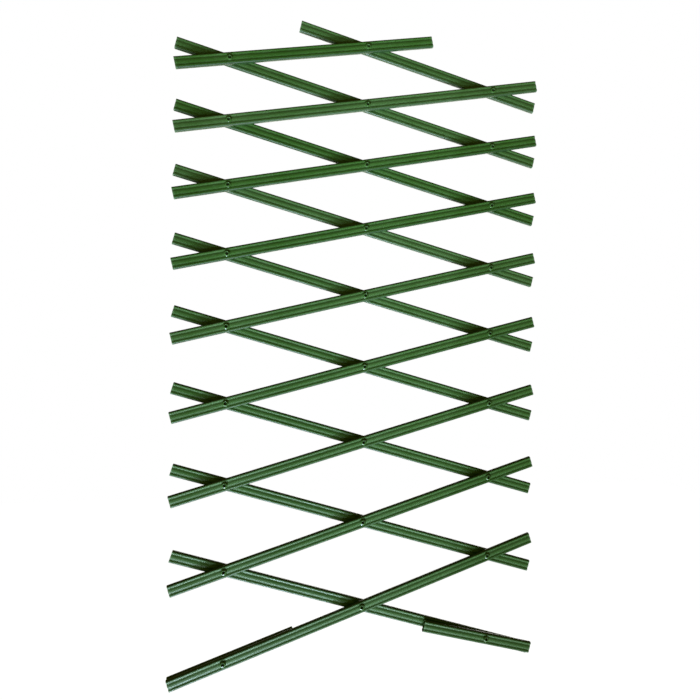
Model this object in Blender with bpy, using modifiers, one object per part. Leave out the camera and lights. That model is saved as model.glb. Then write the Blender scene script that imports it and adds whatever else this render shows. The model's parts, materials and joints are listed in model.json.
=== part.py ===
"""Expandable garden trellis: hollow PVC slats in two layers, riveted into a scissor lattice.

The lattice stands upright, part open, with its front towards -Y. X runs across it and Z runs up.
The origin is on the rear face of the centre rivet, which is the face that rests on the wall.
"""
import math

import bmesh
import bpy
from mathutils import Matrix, Vector

# The lattice
ROWS = 9                    # rows of crossed slats that are riveted at their middles
RIVET_SPACING = 0.230       # between neighbouring rivet holes of one slat
END_OVERHANG = 0.085        # from a slat's outer hole to its end
SHORT_INNER_REACH = 0.115   # from the inner hole of a two-rivet top slat to its inner end
STUB_INNER_REACH = 0.115    # from the hole of a one-rivet bottom slat to its inner end

# How far each row is open, in degrees from level. It is less open at the top than at the bottom
TOP_ANGLE = 12.1
BOTTOM_ANGLE = 17.9
ANGLE_CURVE = 1.3           # above 1, the angle grows faster towards the bottom
FRONT_STUB_LIFT = 2.6       # the loose front stub stands off the slat behind it by this much
PLAY_SHARE = 0.59           # part of a mesh's closing error that each rivet hole's play takes

# The slat's hollow section
SLAT_WIDTH = 0.0190
SLAT_DEPTH = 0.0068
SLAT_WALL = 0.0009          # at the floor of the valleys and at the sides
SHOULDER = 0.0012           # chamfer along the slat's four corners
EDGE_RIB_WIDTH = 0.0036     # raised rib along each long edge
VALLEY_WIDTH = 0.0034       # between that rib and the one along the middle
VALLEY_DEPTH = 0.0006

# The semi-tubular rivets, with a domed front flange around a blind bore
BARREL_DIAMETER = 0.0060
BORE_DIAMETER = 0.0048
BORE_DEPTH = 0.0030
HEAD_THICKNESS = 0.0013     # flat rear head
DOME_HEIGHT = 0.0015        # from the slat to the crest around the bore
CREST_WIDTH = 0.0004
FLANGE_EDGE = 0.0005        # thickness of the domed flange at its rim
FLANGE_LAP = 0.0009         # how far a head covers the slat around its hole
ROUND_SIDES = 12

# Gaps
FIT_GAP = 0.0003            # between pieces that touch
HOLE_CLEARANCE = 0.0004     # left around a barrel where a hole's play is all taken up

CENTRE_ROW = (ROWS + 1) // 2

# Depths along Y, from the wall forwards
BACK_LAYER_Y = -(HEAD_THICKNESS + FIT_GAP + SLAT_DEPTH / 2)
FRONT_LAYER_Y = BACK_LAYER_Y - SLAT_DEPTH - FIT_GAP
RIVET_GRIP = 2 * SLAT_DEPTH + 3 * FIT_GAP

SLAT_GREEN = (0.055, 0.150, 0.050, 1)
RIVET_GREEN = (0.045, 0.120, 0.045, 1)


def clear_scene():
    for item in list(bpy.data.objects):
        bpy.data.objects.remove(item, do_unlink=True)


def make_collection(name):
    collection = bpy.data.collections.new(name)
    bpy.context.scene.collection.children.link(collection)
    return collection


def make_material(name, colour, roughness):
    material = bpy.data.materials.new(name)
    material.use_nodes = True
    shader = material.node_tree.nodes["Principled BSDF"]
    shader.inputs["Base Color"].default_value = colour
    shader.inputs["Roughness"].default_value = roughness
    shader.inputs["Metallic"].default_value = 0.0
    return material


def row_angle(row):
    share = (row - 1) / (ROWS - 1)
    return math.radians(TOP_ANGLE + (BOTTOM_ANGLE - TOP_ANGLE) * share ** ANGLE_CURVE)


def row_play(row):
    """How far a row's slats stand off centre on their rivets, so that unlike rows can meet."""
    upper = min(row, ROWS - 1)
    return PLAY_SHARE * RIVET_SPACING * (math.cos(row_angle(upper)) - math.cos(row_angle(upper + 1)))


LARGEST_PLAY = max(abs(row_play(row)) for row in range(1, ROWS))
HOLE_RADIUS = BARREL_DIAMETER / 2 + LARGEST_PLAY + HOLE_CLEARANCE
HEAD_RADIUS = HOLE_RADIUS + FLANGE_LAP


def along(row, side):
    """From a row's centre to its rivet on one side, -1 left or 1 right, for a front slat."""
    reach = RIVET_SPACING * side
    return Vector((reach * math.cos(row_angle(row)), 0, reach * math.sin(row_angle(row))))


def falling(vector):
    """The same reach on a back slat, which falls to the right."""
    return Vector((vector.x, 0, -vector.z))


def lattice_centres():
    """Centre holes of the front and the back slats, row by row, worked out from the centre row."""
    front = {CENTRE_ROW: Vector((0, 0, 0))}
    back = {CENTRE_ROW: Vector((-row_play(CENTRE_ROW), 0, 0))}
    for row in range(CENTRE_ROW, ROWS):
        left_rivet = front[row] + along(row, -1)
        back[row + 1] = left_rivet - falling(along(row + 1, -1)) + Vector((row_play(row), 0, 0))
        front[row + 1] = back[row + 1] + Vector((row_play(row + 1), 0, 0))
    for row in range(CENTRE_ROW - 1, 0, -1):
        left_rivet = back[row + 1] + falling(along(row + 1, -1)) - Vector((row_play(row), 0, 0))
        front[row] = left_rivet - along(row, -1)
        back[row] = front[row] - Vector((row_play(row), 0, 0))
    return front, back


def closed_spline(curve, points):
    spline = curve.splines.new("POLY")
    spline.points.add(len(points) - 1)
    for point, (x, y) in zip(spline.points, points):
        point.co = (x, y, 0, 1)
    spline.use_cyclic_u = True


def rectangle(width, depth):
    half_width, half_depth = width / 2, depth / 2
    return [(half_width, half_depth), (half_width, -half_depth),
            (-half_width, -half_depth), (-half_width, half_depth)]


def ribbed_outline():
    """The slat's outer section: half the middle rib, a valley and an edge rib, mirrored to all quarters."""
    half_width, half_depth = SLAT_WIDTH / 2, SLAT_DEPTH / 2
    edge_rib = half_width - EDGE_RIB_WIDTH
    quarter = [
        (edge_rib - VALLEY_WIDTH, half_depth),
        (edge_rib - VALLEY_WIDTH / 2, half_depth - VALLEY_DEPTH),
        (edge_rib, half_depth),
        (half_width - SHOULDER, half_depth),
        (half_width, half_depth - SHOULDER),
    ]
    lower_right = [(x, -y) for x, y in reversed(quarter)]
    lower_left = [(-x, -y) for x, y in quarter]
    upper_left = [(-x, y) for x, y in reversed(quarter)]
    return quarter + lower_right + lower_left + upper_left


def extruded_mesh(name, outlines, length):
    """A flat outline, with holes where it has inner loops, drawn out along local X and centred there."""
    curve = bpy.data.curves.new(name, "CURVE")
    curve.dimensions = "2D"
    curve.fill_mode = "BOTH"
    curve.extrude = length / 2
    for outline in outlines:
        closed_spline(curve, outline)
    blank = bpy.data.objects.new(name, curve)
    bpy.context.scene.collection.objects.link(blank)
    mesh = evaluated_mesh(blank)
    bpy.data.objects.remove(blank, do_unlink=True)
    # The outline's own X becomes the slat's width, Z, and the drawn length becomes X
    turn = Matrix(((0, 0, 1, 0), (0, 1, 0, 0), (-1, 0, 0, 0), (0, 0, 0, 1)))
    mesh.transform(turn)
    return mesh


def evaluated_mesh(item):
    bpy.context.view_layer.update()
    depsgraph = bpy.context.evaluated_depsgraph_get()
    mesh = bpy.data.meshes.new_from_object(item.evaluated_get(depsgraph))
    work = bmesh.new()
    work.from_mesh(mesh)
    bmesh.ops.remove_doubles(work, verts=work.verts, dist=0.00001)
    work.to_mesh(mesh)
    work.free()
    return mesh


def drilled_mesh(mesh, cutters):
    body = bpy.data.objects.new("slat_blank", mesh)
    cutter = bpy.data.objects.new("rivet_hole_cutters", cutters)
    cutter.hide_render = True
    cutter.display_type = "WIRE"
    for item in (body, cutter):
        bpy.context.scene.collection.objects.link(item)
    drill = body.modifiers.new("drill", "BOOLEAN")
    drill.operation = "DIFFERENCE"
    drill.solver = "EXACT"
    drill.object = cutter
    drilled = evaluated_mesh(body)
    for item in (body, cutter):
        bpy.data.objects.remove(item, do_unlink=True)
    return drilled


def hole_cutters(positions):
    """One round cutter for each rivet hole, along Y, longer than the slat is deep."""
    work = bmesh.new()
    for x in positions:
        upright = Matrix.Translation((x, 0, 0)) @ Matrix.Rotation(math.radians(90), 4, "X")
        bmesh.ops.create_cone(work, cap_ends=True, segments=ROUND_SIDES, radius1=HOLE_RADIUS,
                              radius2=HOLE_RADIUS, depth=2 * SLAT_DEPTH, matrix=upright)
    cutters = bpy.data.meshes.new("rivet_hole_cutters")
    work.to_mesh(cutters)
    work.free()
    return cutters


def slat_mesh(name, left_end, right_end, holes):
    """A hollow slat, open at both ends and drilled through both walls for its rivets."""
    cavity = rectangle(SLAT_WIDTH - 2 * SLAT_WALL, SLAT_DEPTH - 2 * (VALLEY_DEPTH + SLAT_WALL))
    mesh = extruded_mesh(name, [ribbed_outline(), cavity], right_end - left_end)
    mesh.transform(Matrix.Translation(((left_end + right_end) / 2, 0, 0)))
    return drilled_mesh(mesh, hole_cutters(holes))


def rivet_mesh():
    """A semi-tubular rivet on Y: flat rear head, barrel, and a domed flange around a blind bore."""
    bore = BORE_DIAMETER / 2
    barrel = BARREL_DIAMETER / 2
    front_seat = HEAD_THICKNESS + RIVET_GRIP
    front = front_seat + DOME_HEIGHT
    # Radius and height above the wall, from the bore's floor out, over the dome and down the outside
    profile = [
        (0, front - BORE_DEPTH),
        (bore, front - BORE_DEPTH),
        (bore, front),
        (bore + CREST_WIDTH, front),
        (HEAD_RADIUS, front_seat + FLANGE_EDGE),
        (HEAD_RADIUS, front_seat),
        (barrel, front_seat),
        (barrel, HEAD_THICKNESS),
        (HEAD_RADIUS, HEAD_THICKNESS),
        (HEAD_RADIUS, 0),
        (0, 0),
    ]
    line = bpy.data.meshes.new("rivet_profile")
    line.from_pydata([(radius, 0, height) for radius, height in profile],
                     [(i, i + 1) for i in range(len(profile) - 1)], [])
    blank = bpy.data.objects.new("rivet_blank", line)
    bpy.context.scene.collection.objects.link(blank)
    turn = blank.modifiers.new("turn", "SCREW")
    turn.angle = math.radians(360)
    turn.screw_offset = 0
    turn.axis = "Z"
    turn.steps = ROUND_SIDES
    turn.render_steps = ROUND_SIDES
    turn.use_merge_vertices = True
    turn.merge_threshold = 0.00001
    mesh = evaluated_mesh(blank)
    bpy.data.objects.remove(blank, do_unlink=True)
    mesh.transform(Matrix.Rotation(math.radians(90), 4, "X"))
    return mesh


def add_part(collection, name, mesh, material, pivot, place):
    """One named piece, parented to the empty on its joint's axis."""
    part = bpy.data.objects.new(name, mesh)
    collection.objects.link(part)
    if not mesh.materials:
        mesh.materials.append(material)
        mesh.shade_smooth()
        mesh.set_sharp_from_angle(angle=math.radians(35))
    part.parent = pivot
    part.matrix_local = Matrix.Translation(-pivot.location) @ place
    return part


def add_pivot(collection, name, place):
    pivot = bpy.data.objects.new(name, None)
    pivot.empty_display_type = "ARROWS"
    pivot.empty_display_size = 0.02
    pivot.location = place
    collection.objects.link(pivot)
    return pivot


def slat_place(centre, layer_y, angle):
    """A slat lies along its own X, and a positive angle lifts its right-hand end."""
    return Matrix.Translation((centre.x, layer_y, centre.z)) @ Matrix.Rotation(-angle, 4, "Y")


class Kit:
    """The meshes and finishes that repeated pieces share."""

    def __init__(self):
        full = RIVET_SPACING + END_OVERHANG
        self.slats = {
            "full": slat_mesh("full_slat", -full, full, (-RIVET_SPACING, 0, RIVET_SPACING)),
            "short": slat_mesh("short_slat", -full, SHORT_INNER_REACH, (-RIVET_SPACING, 0)),
            "stub": slat_mesh("stub_slat", -END_OVERHANG, STUB_INNER_REACH, (0,)),
        }
        self.rivet = rivet_mesh()
        self.slat_finish = make_material("slat_green", SLAT_GREEN, 0.45)
        self.rivet_finish = make_material("rivet_green", RIVET_GREEN, 0.40)


def add_slat(parts, kit, name, kind, centre, layer_y, angle, joint_at):
    """A slat, turned about the rivet that joins it to the slats before it."""
    pivot = add_pivot(parts, f"{name}_pivot", joint_at)
    add_part(parts, name, kit.slats[kind], kit.slat_finish, pivot, slat_place(centre, layer_y, angle))
    return pivot


def add_rivet(parts, kit, name, pivot, point):
    add_part(parts, name, kit.rivet, kit.rivet_finish, pivot, Matrix.Translation((point.x, 0, point.z)))


def add_front_row(parts, kit, row, front):
    """A front slat with the rivets that are fixed in it."""
    left, middle, right = (front[row] + along(row, side) for side in (-1, 0, 1))
    # Above the centre a front slat turns on its left rivet, and from there down on its middle one
    joint_at = left if row < CENTRE_ROW else middle
    kind = "short" if row == 1 else "full"
    pivot = add_slat(parts, kit, f"front_slat_{row}", kind, front[row], FRONT_LAYER_Y,
                     row_angle(row), joint_at)
    add_rivet(parts, kit, f"left_rivet_{row}", pivot, left)
    if row == CENTRE_ROW:
        # The centre rivet holds the whole lattice, and its rear face is the origin
        pivot_of_all = add_pivot(parts, "centre_rivet_pivot", middle)
        add_rivet(parts, kit, "centre_rivet", pivot_of_all, middle)
    else:
        add_rivet(parts, kit, f"middle_rivet_{row}", pivot, middle)
    if row > 1:
        add_rivet(parts, kit, f"right_rivet_{row}", pivot, right)


def add_back_row(parts, kit, row, front, back):
    # A back slat turns on its middle rivet down to the centre, and below it on its left one
    joint_at = front[row] if row <= CENTRE_ROW else front[row - 1] + along(row - 1, -1)
    kind, half_turn = ("short", math.pi) if row == 1 else ("full", 0)
    add_slat(parts, kit, f"back_slat_{row}", kind, back[row], BACK_LAYER_Y,
             half_turn - row_angle(row), joint_at)


def add_stubs(parts, kit, front, back):
    """The bottom stubs hang on one rivet each, swung in line with the last full slats.

    The back one lies behind the last front slat, and the front one before the last back slat.
    """
    last = row_angle(ROWS)
    stub = ROWS + 1
    left = front[ROWS] + along(ROWS, -1)
    add_slat(parts, kit, f"back_slat_{stub}", "stub", left, BACK_LAYER_Y, last, left)
    right = back[ROWS] + falling(along(ROWS, 1))
    angle = math.pi - last + math.radians(FRONT_STUB_LIFT)
    pivot = add_slat(parts, kit, f"front_slat_{stub}", "stub", right, FRONT_LAYER_Y, angle, right)
    add_rivet(parts, kit, f"right_rivet_{stub}", pivot, right)


def build():
    clear_scene()
    parts = make_collection("expandable_trellis")
    kit = Kit()
    front, back = lattice_centres()
    for row in range(1, ROWS + 1):
        add_front_row(parts, kit, row, front)
        add_back_row(parts, kit, row, front, back)
    add_stubs(parts, kit, front, back)


build()
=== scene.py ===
"""Looks of the expandable garden trellis: ribbed PVC slats, semi-tubular rivets and a soft studio.

The lattice stands upright with its front towards -Y. Lengths are in metres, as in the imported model.
"""
import json
import math

import bmesh
import bpy
import numpy as np
from mathutils import Matrix, Vector


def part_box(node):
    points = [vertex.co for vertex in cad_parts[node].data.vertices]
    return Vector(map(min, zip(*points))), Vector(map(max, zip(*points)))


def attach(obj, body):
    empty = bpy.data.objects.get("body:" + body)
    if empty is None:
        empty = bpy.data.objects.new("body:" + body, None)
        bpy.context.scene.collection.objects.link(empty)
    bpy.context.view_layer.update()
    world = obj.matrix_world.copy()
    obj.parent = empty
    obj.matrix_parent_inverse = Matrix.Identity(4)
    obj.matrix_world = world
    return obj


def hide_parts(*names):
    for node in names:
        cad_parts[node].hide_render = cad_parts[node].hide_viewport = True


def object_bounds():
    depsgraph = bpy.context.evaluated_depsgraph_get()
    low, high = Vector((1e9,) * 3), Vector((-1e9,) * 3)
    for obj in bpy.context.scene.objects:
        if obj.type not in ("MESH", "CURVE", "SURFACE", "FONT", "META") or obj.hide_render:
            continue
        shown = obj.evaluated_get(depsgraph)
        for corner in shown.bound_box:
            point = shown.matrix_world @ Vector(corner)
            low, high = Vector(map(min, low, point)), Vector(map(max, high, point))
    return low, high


MM = 0.001

# The slat's section. Its three ribs run along the middle and along both long edges
VALLEY_AT = 4.2 * MM        # from the slat's centre line to the floor of a valley
VALLEY_DEPTH = 0.62 * MM
CROWN_SLOPE = 3.5 * MM      # from a valley up to the middle rib's gently rounded crown
EDGE_SLOPE = 2.1 * MM       # from a valley up to an edge rib
SHOULDER_RADIUS = 2.5 * MM
SHOULDER_STEPS = 5
SLAT_WALL = 0.8 * MM
SAW_BREAK = 0.15 * MM       # the broken edge that the saw leaves around each end
# Points of the section from the slat's centre line to its rounded shoulder, in millimetres
CROWN_STATIONS = (0, 0.7, 1.2, 1.7, 2.2, 2.7, 3.2, 3.7, 4.2, 4.6, 5.0, 5.4, 5.8, 6.3, 6.9)

# Where the slat's mesh has rings, from an end inwards and from a hole to both sides
END_RINGS = (SAW_BREAK, 1.2 * MM, 4 * MM, 10 * MM)
HOLE_RINGS = (6 * MM, 9 * MM, 14 * MM)
DRILL_SIDES = 36
HOLE_SPACING = 10 * MM      # points of one hole lie closer than this along the slat, and holes don't

# How far the marks on a slat reach
SHADE_REACH = 2.8 * MM      # of the dark shoulders, in from the slat's long edge
SHADE_BLEND = 1.8 * MM
SAWN_REACH = 2.5 * MM
HUB_RADIUS = 5 * MM
HUB_BLEND = 7 * MM

# How much paler than the rest these slats are drawn, from 0 to 1. The others keep the plain colour
SLAT_PALENESS = {"front_slat_2": 1.0, "front_slat_5": 0.5, "front_slat_6": 0.25, "front_slat_7": 0.25,
              "back_slat_1": 1.0, "back_slat_2": 0.75, "back_slat_4": 1.0, "back_slat_5": 0.5,
              "back_slat_6": 0.25}

# The semi-tubular rivet, with a domed front flange around a blind bore
BORE_RADIUS = 2.4 * MM
BORE_DEPTH = 3.0 * MM
CREST_RADIUS = 2.75 * MM
BARREL_RADIUS = 3.0 * MM
DOME_HEIGHT = 1.5 * MM
DOME_STEPS, DOME_STEP = 9, 10   # points of the dome's arc, and the degrees between them
DOME_POWER = 1.5            # of the dome's arc: 1 is a quarter circle, 2 a plain cone
FLANGE_EDGE = 0.35 * MM
HEAD_THICKNESS = 1.3 * MM
RIVET_SIDES = 40
UNEVENNESS = 0.012          # of the pressed flange, as a share of its radius
FLANGE_LOBES = 5
RIVET_TURN = 137.5          # degrees from one rivet to the next, so that no two look alike

# The photograph's camera
IMAGE_SIDE = 700            # pixels
FOCAL_PIXELS = 520
PRINCIPAL_PIXEL = Vector((359.9, 352.2))
CAMERA_PLACE = Vector((-0.1773, -0.8554, -0.1141))
CAMERA_YAW, CAMERA_PITCH, CAMERA_ROLL = (math.radians(a) for a in (11.39, 1.33, 0.79))
SENSOR_WIDTH = 36.0         # millimetres

ROWS = 9
FLOOR_DROP = 0.70           # below the photographed pose, clear of the lattice when wide open
FLOOR_HALF = 4.0            # half the floor's side
FLOOR_GLOW = 1.09           # with its share below, brings the floor to the photograph's white
GLOW_SHARE = 0.92

# Colours in linear light
PVC_DEEP, PVC_FRESH = (0.028, 0.098, 0.010, 1), (0.043, 0.132, 0.017, 1)
DRAW_LINE = (0.056, 0.160, 0.034, 1)
VALLEY_SHADE = (0.014, 0.046, 0.010, 1)
SHOULDER_SHADE = (0.012, 0.040, 0.010, 1)
SLAT_DUST = (0.24, 0.29, 0.18, 1)
PALER_PVC = (0.24, 0.31, 0.19, 1)
RUBBED_PVC = (0.20, 0.31, 0.17, 1)
SAWN_PVC = (0.20, 0.34, 0.17, 1)
RIVET_DEEP, RIVET_FRESH = (0.030, 0.092, 0.016, 1), (0.052, 0.145, 0.028, 1)
BORE_SHADE = (0.010, 0.034, 0.008, 1)
RIVET_DUST = (0.28, 0.31, 0.22, 1)
WORN_RIM = (0.16, 0.28, 0.12, 1)
FLOOR_GREY = (0.9, 0.9, 0.9, 1)
WHITE = (1, 1, 1, 1)
DIM_ROOM = (0.125, 0.11, 0.016, 1)


# Node helpers

class Nodes:
    """Adds and links shader nodes in one tree with few words."""

    def __init__(self, tree):
        self.tree = tree

    def add(self, kind, settings=None, **inputs):
        node = self.tree.nodes.new(kind)
        for name, value in (settings or {}).items():
            setattr(node, name, value)
        for name, value in inputs.items():
            self.feed(node, name.replace("_", " "), value)
        return node

    def put(self, socket, value):
        """Links another node's output to a socket, or sets a plain value there."""
        if isinstance(value, bpy.types.NodeSocket):
            self.tree.links.new(value, socket)
        else:
            socket.default_value = value

    def feed(self, node, name, value):
        self.put(node.inputs[name], value)

    def math(self, operation, *values, clamp=False):
        node = self.tree.nodes.new("ShaderNodeMath")
        node.operation = operation
        node.use_clamp = clamp
        for socket, value in zip(node.inputs, values):
            self.put(socket, value)
        return node.outputs[0]

    def remap(self, value, low, high, to_low=0.0, to_high=1.0):
        node = self.tree.nodes.new("ShaderNodeMapRange")
        node.interpolation_type = "SMOOTHSTEP"
        for name, item in zip(("Value", "From Min", "From Max", "To Min", "To Max"),
                              (value, low, high, to_low, to_high)):
            self.feed(node, name, item)
        return node.outputs[0]

    def mix(self, share, first, second):
        """A mix of two colours. The node's sockets share their names, so they go by number."""
        node = self.tree.nodes.new("ShaderNodeMix")
        node.data_type = "RGBA"
        for index, item in ((0, share), (6, first), (7, second)):
            self.put(node.inputs[index], item)
        return node.outputs[2]

    def noise(self, vector, scale, detail=2.0, roughness=0.5):
        node = self.add("ShaderNodeTexNoise", Vector=vector, Scale=scale, Detail=detail,
                        Roughness=roughness)
        return node.outputs["Fac"]

    def mark(self, name):
        """What the mesh stores at each point under this name."""
        return self.add("ShaderNodeAttribute", {"attribute_name": name}).outputs["Fac"]

    def stretched(self, vector, scale):
        return self.add("ShaderNodeMapping", Vector=vector, Scale=scale).outputs[0]


def effect_group(name, sockets_in, sockets_out):
    """A shader node group with named sockets, its nodes' helper, its given values and its output node."""
    group = bpy.data.node_groups.new(name, "ShaderNodeTree")
    for socket_name, kind, value in sockets_in:
        socket = group.interface.new_socket(socket_name, in_out="INPUT", socket_type=kind)
        if value is not None:
            socket.default_value = value
    for socket_name, kind in sockets_out:
        group.interface.new_socket(socket_name, in_out="OUTPUT", socket_type=kind)
    nodes = Nodes(group)
    return group, nodes, nodes.add("NodeGroupInput").outputs, nodes.add("NodeGroupOutput")


def draw_lines_group():
    """Fine lines that the extruder's die leaves along a slat, and slow changes of shade in the PVC."""
    group, n, given, out = effect_group(
        "draw_lines",
        [("Vector", "NodeSocketVector", None), ("Line Density", "NodeSocketFloat", 2200.0)],
        [("Lines", "NodeSocketFloat"), ("Shade", "NodeSocketFloat")])
    across = n.stretched(given["Vector"], (0.004, 1.0, 1.0))
    lines = n.noise(across, given["Line Density"], 3.0, 0.6)
    slow = n.stretched(given["Vector"], (0.12, 1.0, 1.0))
    shade = n.noise(slow, 90.0, 3.0, 0.55)
    n.feed(out, "Lines", lines)
    n.feed(out, "Shade", shade)
    return group


def handling_group():
    """Scuffs and short scratches from bundling and opening the lattice."""
    group, n, given, out = effect_group(
        "handling_marks",
        [("Vector", "NodeSocketVector", None), ("Scratch Size", "NodeSocketFloat", 160.0)],
        [("Scuffs", "NodeSocketFloat"), ("Scratches", "NodeSocketFloat")])
    patches = n.remap(n.noise(given["Vector"], 38.0, 4.0, 0.6), 0.56, 0.76)
    grit = n.remap(n.noise(n.stretched(given["Vector"], (0.3, 1.0, 1.0)), 1700.0, 3.0, 0.7), 0.42, 0.66)
    scuffs = n.math("MULTIPLY", patches, grit)
    bent = n.add("ShaderNodeMapping", Vector=given["Vector"], Rotation=(0, math.radians(24), 0),
                 Scale=(0.10, 1.0, 1.6)).outputs[0]
    streak = n.noise(bent, given["Scratch Size"], 5.0, 0.75)
    scratches = n.math("MULTIPLY", n.remap(streak, 0.66, 0.70),
                       n.remap(n.noise(given["Vector"], 21.0, 2.0), 0.5, 0.6))
    n.feed(out, "Scuffs", scuffs)
    n.feed(out, "Scratches", scratches)
    return group


def weather_group():
    """Dust and a pale film that gather in places given by a mask."""
    group, n, given, out = effect_group(
        "weather_film",
        [("Vector", "NodeSocketVector", None), ("Shelter", "NodeSocketFloat", 0.0)],
        [("Film", "NodeSocketFloat")])
    cloud = n.noise(given["Vector"], 55.0, 5.0, 0.65)
    fine = n.noise(given["Vector"], 1500.0, 3.0, 0.6)
    broken = n.math("MULTIPLY", n.remap(cloud, 0.35, 0.75), n.remap(fine, 0.3, 0.7, 0.45, 1.0))
    lifted = n.math("MULTIPLY_ADD", given["Shelter"], 0.7, 0.3)
    n.feed(out, "Film", n.math("MULTIPLY", broken, lifted, clamp=True))
    return group


def use_group(nodes, group, **inputs):
    node = nodes.add("ShaderNodeGroup", {"node_tree": group}, **inputs)
    return node.outputs


def new_material(name):
    material = bpy.data.materials.new(name)
    material.use_nodes = True
    nodes = Nodes(material.node_tree)
    shader = material.node_tree.nodes["Principled BSDF"]
    return material, nodes, shader


def slat_material(effects):
    """Extruded green PVC: streaked along its length, dusty in the valleys, rubbed on the ribs."""
    material, n, shader = new_material("green_extruded_pvc")
    place = n.add("ShaderNodeTexCoord").outputs["Object"]
    lines = use_group(n, effects["lines"], Vector=place)
    marks = use_group(n, effects["marks"], Vector=place)
    rib = n.mark("rib_height")
    cut = n.mark("sawn_end")
    hub = n.mark("near_rivet")
    shoulder = n.mark("shoulder")
    paler_share = n.mark("paleness")
    valley = n.math("SUBTRACT", 1.0, rib)
    film = use_group(n, effects["film"], Vector=place,
                     Shelter=n.math("MAXIMUM", valley, hub))["Film"]

    colour = n.mix(n.remap(lines["Shade"], 0.32, 0.68), PVC_DEEP, PVC_FRESH)
    colour = n.mix(n.remap(lines["Lines"], 0.35, 0.65, 0.0, 0.22), colour, DRAW_LINE)
    colour = n.mix(n.math("MULTIPLY", valley, 0.22), colour, VALLEY_SHADE)
    colour = n.mix(n.math("MULTIPLY", shoulder, 0.88), colour, SHOULDER_SHADE)
    colour = n.mix(n.math("MULTIPLY", film, 0.07), colour, SLAT_DUST)
    # A paler tone on some slats, each by its listed share
    paler_mix = n.math("MULTIPLY", paler_share, n.remap(lines["Shade"], 0.32, 0.68, 0.07, 0.12))
    colour = n.mix(paler_mix, colour, PALER_PVC)
    rubbed = n.math("MULTIPLY", n.math("MAXIMUM", marks["Scuffs"], marks["Scratches"]), rib)
    colour = n.mix(n.math("MULTIPLY", rubbed, 0.34), colour, RUBBED_PVC)
    colour = n.mix(n.math("MULTIPLY", cut, 0.40), colour, SAWN_PVC)
    n.feed(shader, "Base Color", colour)

    gloss = n.remap(lines["Shade"], 0.3, 0.7, 0.42, 0.54)
    gloss = n.math("ADD", gloss, n.math("MULTIPLY", film, 0.25))
    gloss = n.math("ADD", gloss, n.math("MULTIPLY", rubbed, 0.18), clamp=True)
    n.feed(shader, "Roughness", gloss)

    height = n.math("MULTIPLY_ADD", lines["Lines"], 0.7, n.math("MULTIPLY", marks["Scratches"], -0.8))
    height = n.math("ADD", height, n.math("MULTIPLY", n.noise(place, 1500.0, 2.0), 0.25))
    bump = n.add("ShaderNodeBump", Height=height, Strength=0.35, Distance=0.00006)
    n.feed(shader, "Normal", bump.outputs[0])
    return material


def rivet_material(effects):
    """Moulded green plastic, a little darker than the slats, with dust in the bore and a rubbed rim."""
    material, n, shader = new_material("green_moulded_rivet")
    place = n.add("ShaderNodeTexCoord").outputs["Object"]
    marks = use_group(n, effects["marks"], Vector=place, Scratch_Size=420.0)
    crest = n.mark("rim_crest")
    inside = n.mark("bore_depth")
    film = use_group(n, effects["film"], Vector=place, Shelter=inside)["Film"]

    mottle = n.noise(place, 240.0, 3.0)
    colour = n.mix(n.remap(mottle, 0.3, 0.7), RIVET_DEEP, RIVET_FRESH)
    colour = n.mix(n.math("MULTIPLY", inside, 0.5), colour, BORE_SHADE)
    colour = n.mix(n.math("MULTIPLY", film, 0.12), colour, RIVET_DUST)
    worn = n.math("MULTIPLY", crest, n.remap(mottle, 0.35, 0.6, 0.25, 1.0))
    colour = n.mix(n.math("MULTIPLY", worn, 0.22), colour, WORN_RIM)
    n.feed(shader, "Base Color", colour)

    gloss = n.remap(mottle, 0.3, 0.7, 0.22, 0.32)
    gloss = n.math("ADD", gloss, n.math("MULTIPLY", inside, 0.3))
    n.feed(shader, "Roughness", n.math("ADD", gloss, n.math("MULTIPLY", film, 0.3), clamp=True))
    height = n.math("MULTIPLY_ADD", n.noise(place, 1100.0, 3.0), 0.6,
                    n.math("MULTIPLY", marks["Scratches"], -0.7))
    bump = n.add("ShaderNodeBump", Height=height, Strength=0.30, Distance=0.00005)
    n.feed(shader, "Normal", bump.outputs[0])
    return material


# Slats

class SlatLayout:
    """Where a packed slat lies: its own frame, its ends and its rivet holes along its length."""

    def __init__(self, node):
        points = np.array([v.co for v in frame["nodes"][node].data.vertices])
        flat = points[:, [0, 2]] - points[:, [0, 2]].mean(0)
        run = np.linalg.svd(flat, full_matrices=False)[2][0]
        run *= np.sign(run[0])
        self.depth = np.ptp(points[:, 1])
        layer = (points[:, 1].max() + points[:, 1].min()) / 2
        along = points[:, [0, 2]] @ run
        across = points[:, [0, 2]] @ np.array((-run[1], run[0]))
        self.width = np.ptp(across)
        middle_line = (across.max() + across.min()) / 2
        inner = np.sort(along[(along > along.min() + MM) & (along < along.max() - MM)])
        breaks = np.flatnonzero(np.diff(inner) > HOLE_SPACING) + 1
        groups = np.split(inner, breaks)
        holes = [(group[0] + group[-1]) / 2 for group in groups]
        self.hole_radius = (groups[0][-1] - groups[0][0]) / 2
        origin = holes[len(holes) // 2]
        self.holes = [hole - origin for hole in holes]
        self.left, self.right = along.min() - origin, along.max() - origin
        x = origin * run[0] - middle_line * run[1]
        z = origin * run[1] + middle_line * run[0]
        self.place = Matrix(((run[0], 0, -run[1], x), (0, 1, 0, layer),
                             (run[1], 0, run[0], z), (0, 0, 0, 1)))

    def key(self):
        sizes = (self.left, self.right, *self.holes)
        return tuple(round(size / MM, 1) for size in sizes)


def smooth_step(share):
    share = min(max(share, 0.0), 1.0)
    return share * share * (3 - 2 * share)


def rib_level(across):
    """1 on the top of a rib and 0 on the floor of a valley."""
    past = abs(across) - VALLEY_AT
    return smooth_step(past / EDGE_SLOPE) if past > 0 else smooth_step(-past / CROWN_SLOPE)


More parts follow.
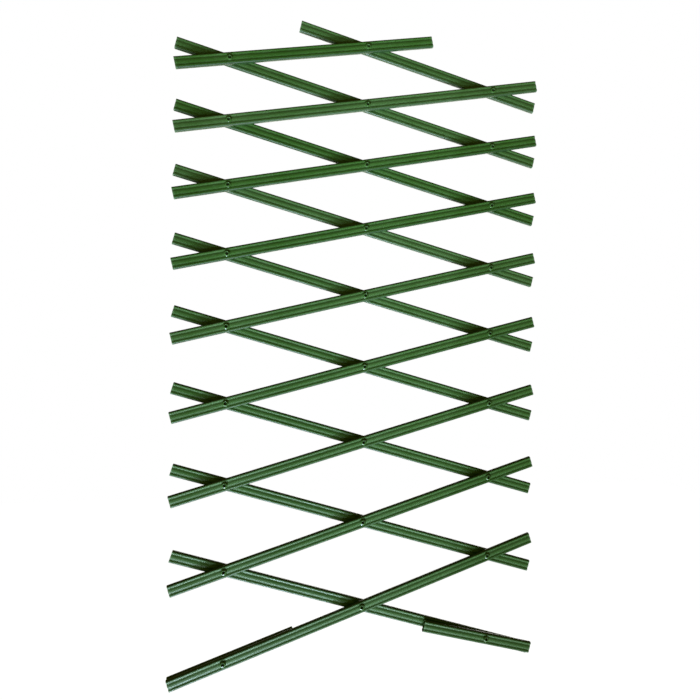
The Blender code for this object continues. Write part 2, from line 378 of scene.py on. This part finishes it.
def section_outline(width, depth):
    """The slat's outer section, anticlockwise in (across, depth), as points with their rib level."""
    half_width, half_depth = width / 2, depth / 2
    turn = half_width - SHOULDER_RADIUS
    quarter = []
    for across in CROWN_STATIONS:
        level = rib_level(across * MM)
        quarter.append((across * MM, half_depth - VALLEY_DEPTH * (1 - level), level))
    for step in range(SHOULDER_STEPS + 1):
        angle = math.radians(90 - 90 / SHOULDER_STEPS * step)
        quarter.append((turn + SHOULDER_RADIUS * math.cos(angle),
                        half_depth - SHOULDER_RADIUS + SHOULDER_RADIUS * math.sin(angle), 1.0))
    upper = quarter[::-1] + [(-x, y, level) for x, y, level in quarter[1:]]
    lower = [(-x, -y, level) for x, y, level in upper]
    return upper + lower


def inset_outline(outline, distance):
    """The same outline moved inwards by one distance all round."""
    moved = []
    count = len(outline)
    for index, (x, y, level) in enumerate(outline):
        before, after = outline[index - 1], outline[(index + 1) % count]
        run = Vector((after[0] - before[0], after[1] - before[1])).normalized()
        moved.append((x - run.y * distance, y + run.x * distance, level))
    return moved


def slat_blank(layout):
    """The ribbed tube before drilling, along local X, with closely spaced rings near holes and ends."""
    outer = section_outline(layout.width, layout.depth)
    inner = inset_outline(outer, SLAT_WALL)
    stations = {layout.left, layout.right}
    for end, inwards in ((layout.left, 1), (layout.right, -1)):
        stations.update(end + inwards * step for step in END_RINGS)
    for hole in layout.holes:
        stations.update(hole + side * step for side in (-1, 1) for step in HOLE_RINGS)
    stations = sorted(stations)
    mesh = bmesh.new()
    rings = {"outer": [], "inner": []}
    for station in stations:
        at_end = station in (layout.left, layout.right)
        loops = (("outer", inset_outline(outer, SAW_BREAK) if at_end else outer), ("inner", inner))
        for name, outline in loops:
            rings[name].append([mesh.verts.new((station, -y, x)) for x, y, _ in outline])
    count = len(outer)
    for name, direction in (("outer", 1), ("inner", -1)):
        for first, second in zip(rings[name], rings[name][1:]):
            for i in range(count):
                j = (i + 1) % count
                corners = [first[i], first[j], second[j], second[i]]
                mesh.faces.new(corners[::direction])
    for station, direction in ((0, -1), (-1, 1)):
        for i in range(count):
            j = (i + 1) % count
            corners = [rings["outer"][station][i], rings["outer"][station][j],
                       rings["inner"][station][j], rings["inner"][station][i]]
            mesh.faces.new(corners[::direction])
    bmesh.ops.recalc_face_normals(mesh, faces=mesh.faces)
    data = bpy.data.meshes.new("slat_blank")
    mesh.to_mesh(data)
    mesh.free()
    return data


def applied_mesh(item, name):
    bpy.context.view_layer.update()
    result = bpy.data.meshes.new_from_object(item.evaluated_get(bpy.context.evaluated_depsgraph_get()))
    result.name = name
    return result


def drill(data, layout):
    """Round holes through both walls, one for each rivet."""
    cutter_mesh = bmesh.new()
    for hole in layout.holes:
        upright = Matrix.Translation((hole, 0, 0)) @ Matrix.Rotation(math.radians(90), 4, "X")
        bmesh.ops.create_cone(cutter_mesh, cap_ends=True, segments=DRILL_SIDES, radius1=layout.hole_radius,
                              radius2=layout.hole_radius, depth=3 * layout.depth, matrix=upright)
    cutter_data = bpy.data.meshes.new("drill")
    cutter_mesh.to_mesh(cutter_data)
    cutter_mesh.free()
    blank = bpy.data.objects.new("slat_blank", data)
    cutter = bpy.data.objects.new("drill", cutter_data)
    for item in (blank, cutter):
        bpy.context.scene.collection.objects.link(item)
    cut = blank.modifiers.new("drill", "BOOLEAN")
    cut.operation, cut.solver, cut.object = "DIFFERENCE", "EXACT", cutter
    result = applied_mesh(blank, "ribbed_slat")
    for item in (blank, cutter):
        bpy.data.objects.remove(item, do_unlink=True)
    return result


def mark_slat(data, layout, paleness):
    """Stores where each point lies: on a rib or a shoulder, near a sawn end or near a rivet."""
    marks = {name: [] for name in ("rib_height", "shoulder", "sawn_end", "near_rivet")}
    marks["paleness"] = [paleness] * len(data.vertices)
    half_width = layout.width / 2
    for vertex in data.vertices:
        x, y, z = vertex.co
        on_side = abs(z) > half_width - SHOULDER_RADIUS
        marks["rib_height"].append(1.0 if on_side else rib_level(z))
        marks["shoulder"].append(smooth_step((abs(z) - (half_width - SHADE_REACH)) / SHADE_BLEND))
        end = min(x - layout.left, layout.right - x)
        marks["sawn_end"].append(1.0 - smooth_step(end / SAWN_REACH))
        rivet = min(math.hypot(x - hole, z) for hole in layout.holes)
        marks["near_rivet"].append(1.0 - smooth_step((rivet - HUB_RADIUS) / HUB_BLEND))
    for name, values in marks.items():
        attribute = data.attributes.new(name, "FLOAT", "POINT")
        attribute.data.foreach_set("value", values)


def add_slats(material):
    """One mesh for each slat, copied from a drilled blank that equal slats share."""
    drilled = {}
    for layer in ("front", "back"):
        for row in range(1, ROWS + 2):
            node = f"{layer}_slat_{row}"
            layout = SlatLayout(node)
            if layout.key() not in drilled:
                drilled[layout.key()] = drill(slat_blank(layout), layout)
            data = drilled[layout.key()].copy()
            mark_slat(data, layout, SLAT_PALENESS.get(node, 0.0))
            data.shade_smooth()
            data.set_sharp_from_angle(angle=math.radians(38))
            data.materials.append(material)
            slat = bpy.data.objects.new(f"ribbed_{node}", data)
            bpy.context.scene.collection.objects.link(slat)
            slat.matrix_world = layout.place
            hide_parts(node)
            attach(slat, node)
    for data in drilled.values():
        bpy.data.meshes.remove(data)


# Rivets

def rivet_profile(head_radius, length):
    """(radius, height above the wall, crest, bore depth) from the bore's floor out and to the rear."""
    seat = length - DOME_HEIGHT
    floor = length - BORE_DEPTH
    points = [(0.0, floor + 0.5 * MM, 0, 0.7), (0.4 * MM, floor + 0.45 * MM, 0, 0.7),
              (0.6 * MM, floor + 0.1 * MM, 0, 1), (1.5 * MM, floor, 0, 1),
              (1.8 * MM, floor + 0.15 * MM, 0, 1), (BORE_RADIUS, floor + 0.5 * MM, 0, 1),
              (BORE_RADIUS, length - 0.9 * MM, 0, 0.7), (BORE_RADIUS, length - 0.35 * MM, 0.3, 0.4),
              (BORE_RADIUS + 0.1 * MM, length - 0.12 * MM, 0.8, 0.2)]
    for step in range(DOME_STEPS):
        angle = math.radians(90 - DOME_STEP * step)
        rise = math.sin(angle) ** DOME_POWER
        radius = CREST_RADIUS + (head_radius - CREST_RADIUS) * math.cos(angle) ** DOME_POWER
        points.append((radius, seat + FLANGE_EDGE + (DOME_HEIGHT - FLANGE_EDGE) * rise, rise ** 6, 0))
    points += [(head_radius, seat + 0.2 * MM, 0, 0), (head_radius - 0.1 * MM, seat, 0, 0),
               (BARREL_RADIUS + 0.1 * MM, seat, 0, 0), (BARREL_RADIUS, seat - 0.1 * MM, 0, 0),
               (BARREL_RADIUS, HEAD_THICKNESS + 0.15 * MM, 0, 0),
               (BARREL_RADIUS + 0.15 * MM, HEAD_THICKNESS, 0, 0),
               (head_radius - 0.5 * MM, HEAD_THICKNESS, 0, 0),
               (head_radius - 0.15 * MM, HEAD_THICKNESS, 0, 0),
               (head_radius, HEAD_THICKNESS - 0.15 * MM, 0.5, 0), (head_radius, 0.45 * MM, 0.7, 0),
               (head_radius - 0.08 * MM, 0.2 * MM, 1, 0), (head_radius - 0.25 * MM, 0.05 * MM, 0.8, 0),
               (head_radius - 0.5 * MM, 0, 0.3, 0), (head_radius - 0.9 * MM, 0, 0, 0),
               (1.3 * MM, 0, 0, 0), (1.1 * MM, 0.04 * MM, 0, 0), (0.95 * MM, 0.16 * MM, 0, 0),
               (0.7 * MM, 0.2 * MM, 0, 0), (0.0, 0.2 * MM, 0, 0)]
    return points


def rivet_mesh(head_radius, length, material):
    """The profile turned about the rivet's axis, with the slight unevenness of a pressed flange."""
    profile = rivet_profile(head_radius, length)
    mesh = bmesh.new()
    crest_layer = mesh.verts.layers.float.new("rim_crest")
    bore_layer = mesh.verts.layers.float.new("bore_depth")
    columns = []
    for index, (radius, height, crest, depth) in enumerate(profile):
        ring = []
        for side in range(1 if radius == 0 else RIVET_SIDES):
            turn = 2 * math.pi * side / RIVET_SIDES
            lobes = math.sin(FLANGE_LOBES * turn + 0.7) * (height > length / 2)
            reach = radius * (1 + UNEVENNESS * crest * lobes)
            vert = mesh.verts.new((reach * math.cos(turn), -height, reach * math.sin(turn)))
            vert[crest_layer], vert[bore_layer] = crest, depth
            ring.append(vert)
        columns.append(ring)
    for first, second in zip(columns, columns[1:]):
        for side in range(RIVET_SIDES):
            after = (side + 1) % RIVET_SIDES
            if len(first) == 1:
                mesh.faces.new((first[0], second[side], second[after]))
            elif len(second) == 1:
                mesh.faces.new((first[side], second[0], first[after]))
            else:
                mesh.faces.new((first[side], second[side], second[after], first[after]))
    bmesh.ops.recalc_face_normals(mesh, faces=mesh.faces)
    data = bpy.data.meshes.new("tubular_rivet")
    mesh.to_mesh(data)
    mesh.free()
    data.shade_smooth()
    data.set_sharp_from_angle(angle=math.radians(50))
    data.materials.append(material)
    return data


def add_rivets(material):
    names = [name for name in frame["nodes"] if "rivet" in name]
    low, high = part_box("centre_rivet")
    data = rivet_mesh((high.x - low.x) / 2, high.y - low.y, material)
    for number, name in enumerate(sorted(names)):
        low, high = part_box(name)
        rivet = bpy.data.objects.new(f"tubular_{name}", data)
        bpy.context.scene.collection.objects.link(rivet)
        turned = Matrix.Rotation(math.radians(RIVET_TURN * number), 4, "Y")
        rivet.matrix_world = Matrix.Translation(((low.x + high.x) / 2, 0, (low.z + high.z) / 2)) @ turned
        body = next(body for body, nodes in frame["record"]["behaviour"]["bodies"].items() if name in nodes)
        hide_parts(name)
        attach(rivet, body)


# Studio

def add_camera():
    data = bpy.data.cameras.new("photograph_camera")
    data.sensor_width = SENSOR_WIDTH
    data.lens = FOCAL_PIXELS * SENSOR_WIDTH / IMAGE_SIDE
    data.shift_x = (IMAGE_SIDE / 2 - PRINCIPAL_PIXEL.x) / IMAGE_SIDE
    data.shift_y = (PRINCIPAL_PIXEL.y - IMAGE_SIDE / 2) / IMAGE_SIDE
    data.clip_start = 0.01
    camera = bpy.data.objects.new("photograph_camera", data)
    bpy.context.scene.collection.objects.link(camera)
    aim = (Matrix.Rotation(-CAMERA_YAW, 4, "Z") @ Matrix.Rotation(math.radians(90) + CAMERA_PITCH, 4, "X")
           @ Matrix.Rotation(CAMERA_ROLL, 4, "Z"))
    camera.matrix_world = Matrix.Translation(CAMERA_PLACE) @ aim
    bpy.context.scene.camera = camera


def aimed(place, aim_at):
    """The matrix of a lamp that stands at one point and shines on another."""
    direction = Vector(aim_at) - Vector(place)
    return Matrix.Translation(place) @ direction.to_track_quat("-Z", "Y").to_matrix().to_4x4()


def add_panel(name, size, place, aim_at, colour, radiance):
    """A soft rectangular lamp, unseen by the camera, with its power worked out from its radiance."""
    data = bpy.data.lights.new(name, "AREA")
    data.shape = "RECTANGLE"
    data.size, data.size_y = size
    data.color = colour
    data.energy = radiance * math.pi * size[0] * size[1]
    panel = bpy.data.objects.new(name, data)
    bpy.context.scene.collection.objects.link(panel)
    panel.matrix_world = aimed(place, aim_at)
    panel.visible_camera = False


def add_far_key(name, direction, spread, colour, strength):
    """A soft lamp so far away that it lights every row alike."""
    data = bpy.data.lights.new(name, "SUN")
    data.color, data.energy, data.angle = colour, strength, spread
    key = bpy.data.objects.new(name, data)
    bpy.context.scene.collection.objects.link(key)
    key.rotation_euler = Vector(direction).to_track_quat("Z", "Y").to_euler()


def add_pool(name, place, aim_at, cone, radius, colour, power):
    """A soft-edged beam that brightens the middle of the lattice."""
    data = bpy.data.lights.new(name, "SPOT")
    data.color, data.energy, data.shadow_soft_size = colour, power, radius
    data.spot_size, data.spot_blend = cone, 1.0
    beam = bpy.data.objects.new(name, data)
    bpy.context.scene.collection.objects.link(beam)
    beam.matrix_world = aimed(place, aim_at)


def add_floor(level):
    material, n, shader = new_material("pale_floor")
    n.feed(shader, "Base Color", FLOOR_GREY)
    n.feed(shader, "Roughness", 0.9)
    seen = n.add("ShaderNodeLightPath").outputs["Is Camera Ray"]
    white = n.add("ShaderNodeEmission", Color=WHITE, Strength=FLOOR_GLOW)
    mixed = n.add("ShaderNodeMixShader")
    n.tree.links.new(n.math("MULTIPLY", seen, GLOW_SHARE), mixed.inputs[0])
    n.tree.links.new(shader.outputs[0], mixed.inputs[1])
    n.tree.links.new(white.outputs[0], mixed.inputs[2])
    n.tree.links.new(mixed.outputs[0], n.tree.nodes["Material Output"].inputs["Surface"])
    corners = [(x * FLOOR_HALF, y * FLOOR_HALF, level) for x, y in ((-1, -1), (1, -1), (1, 1), (-1, 1))]
    data = bpy.data.meshes.new("floor")
    data.from_pydata(corners, [], [(0, 1, 2, 3)])
    data.materials.append(material)
    floor = bpy.data.objects.new("floor", data)
    bpy.context.scene.collection.objects.link(floor)
    # The key light comes from below, as in the photograph, so the floor lets it through
    floor.visible_shadow = floor.visible_diffuse = floor.visible_glossy = False


def add_surroundings():
    """White for the camera, and a dim warm room for everything else."""
    world = bpy.data.worlds.new("studio")
    bpy.context.scene.world = world
    world.use_nodes = True
    n = Nodes(world.node_tree)
    background = world.node_tree.nodes["Background"]
    seen = n.add("ShaderNodeLightPath").outputs["Is Camera Ray"]
    n.feed(background, "Color", n.mix(seen, DIM_ROOM, WHITE))


def add_studio(floor_level):
    add_camera()
    add_floor(floor_level)
    add_surroundings()
    add_far_key("key_from_below", direction=(-0.90, -2.30, -6.00), spread=math.radians(60),
                colour=(0.80, 1.0, 0.94), strength=3.7)
    add_pool("pool_from_below", place=(-0.50, -1.30, -3.40), aim_at=(-0.06, 0, -0.12),
             cone=math.radians(10.5), radius=0.35, colour=(0.61, 0.74, 1.0), power=1900)
    add_panel("rear_fill", size=(1.8, 1.4), place=(0.6, 2.0, -0.4), aim_at=(0, 0, 0),
              colour=(1.0, 0.97, 0.92), radiance=4.5)
    bpy.context.scene.view_settings.view_transform = "Standard"


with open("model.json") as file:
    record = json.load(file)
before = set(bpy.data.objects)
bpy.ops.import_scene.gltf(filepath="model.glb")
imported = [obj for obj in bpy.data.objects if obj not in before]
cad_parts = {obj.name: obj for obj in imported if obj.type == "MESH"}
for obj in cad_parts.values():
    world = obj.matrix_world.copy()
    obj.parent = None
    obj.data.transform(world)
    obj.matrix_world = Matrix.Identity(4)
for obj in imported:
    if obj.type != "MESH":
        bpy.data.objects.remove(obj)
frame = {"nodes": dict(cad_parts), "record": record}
cad_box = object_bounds()
effects = {"lines": draw_lines_group(), "marks": handling_group(), "film": weather_group()}
add_slats(slat_material(effects))
add_rivets(rivet_material(effects))
add_studio(cad_box[0][2] - FLOOR_DROP)
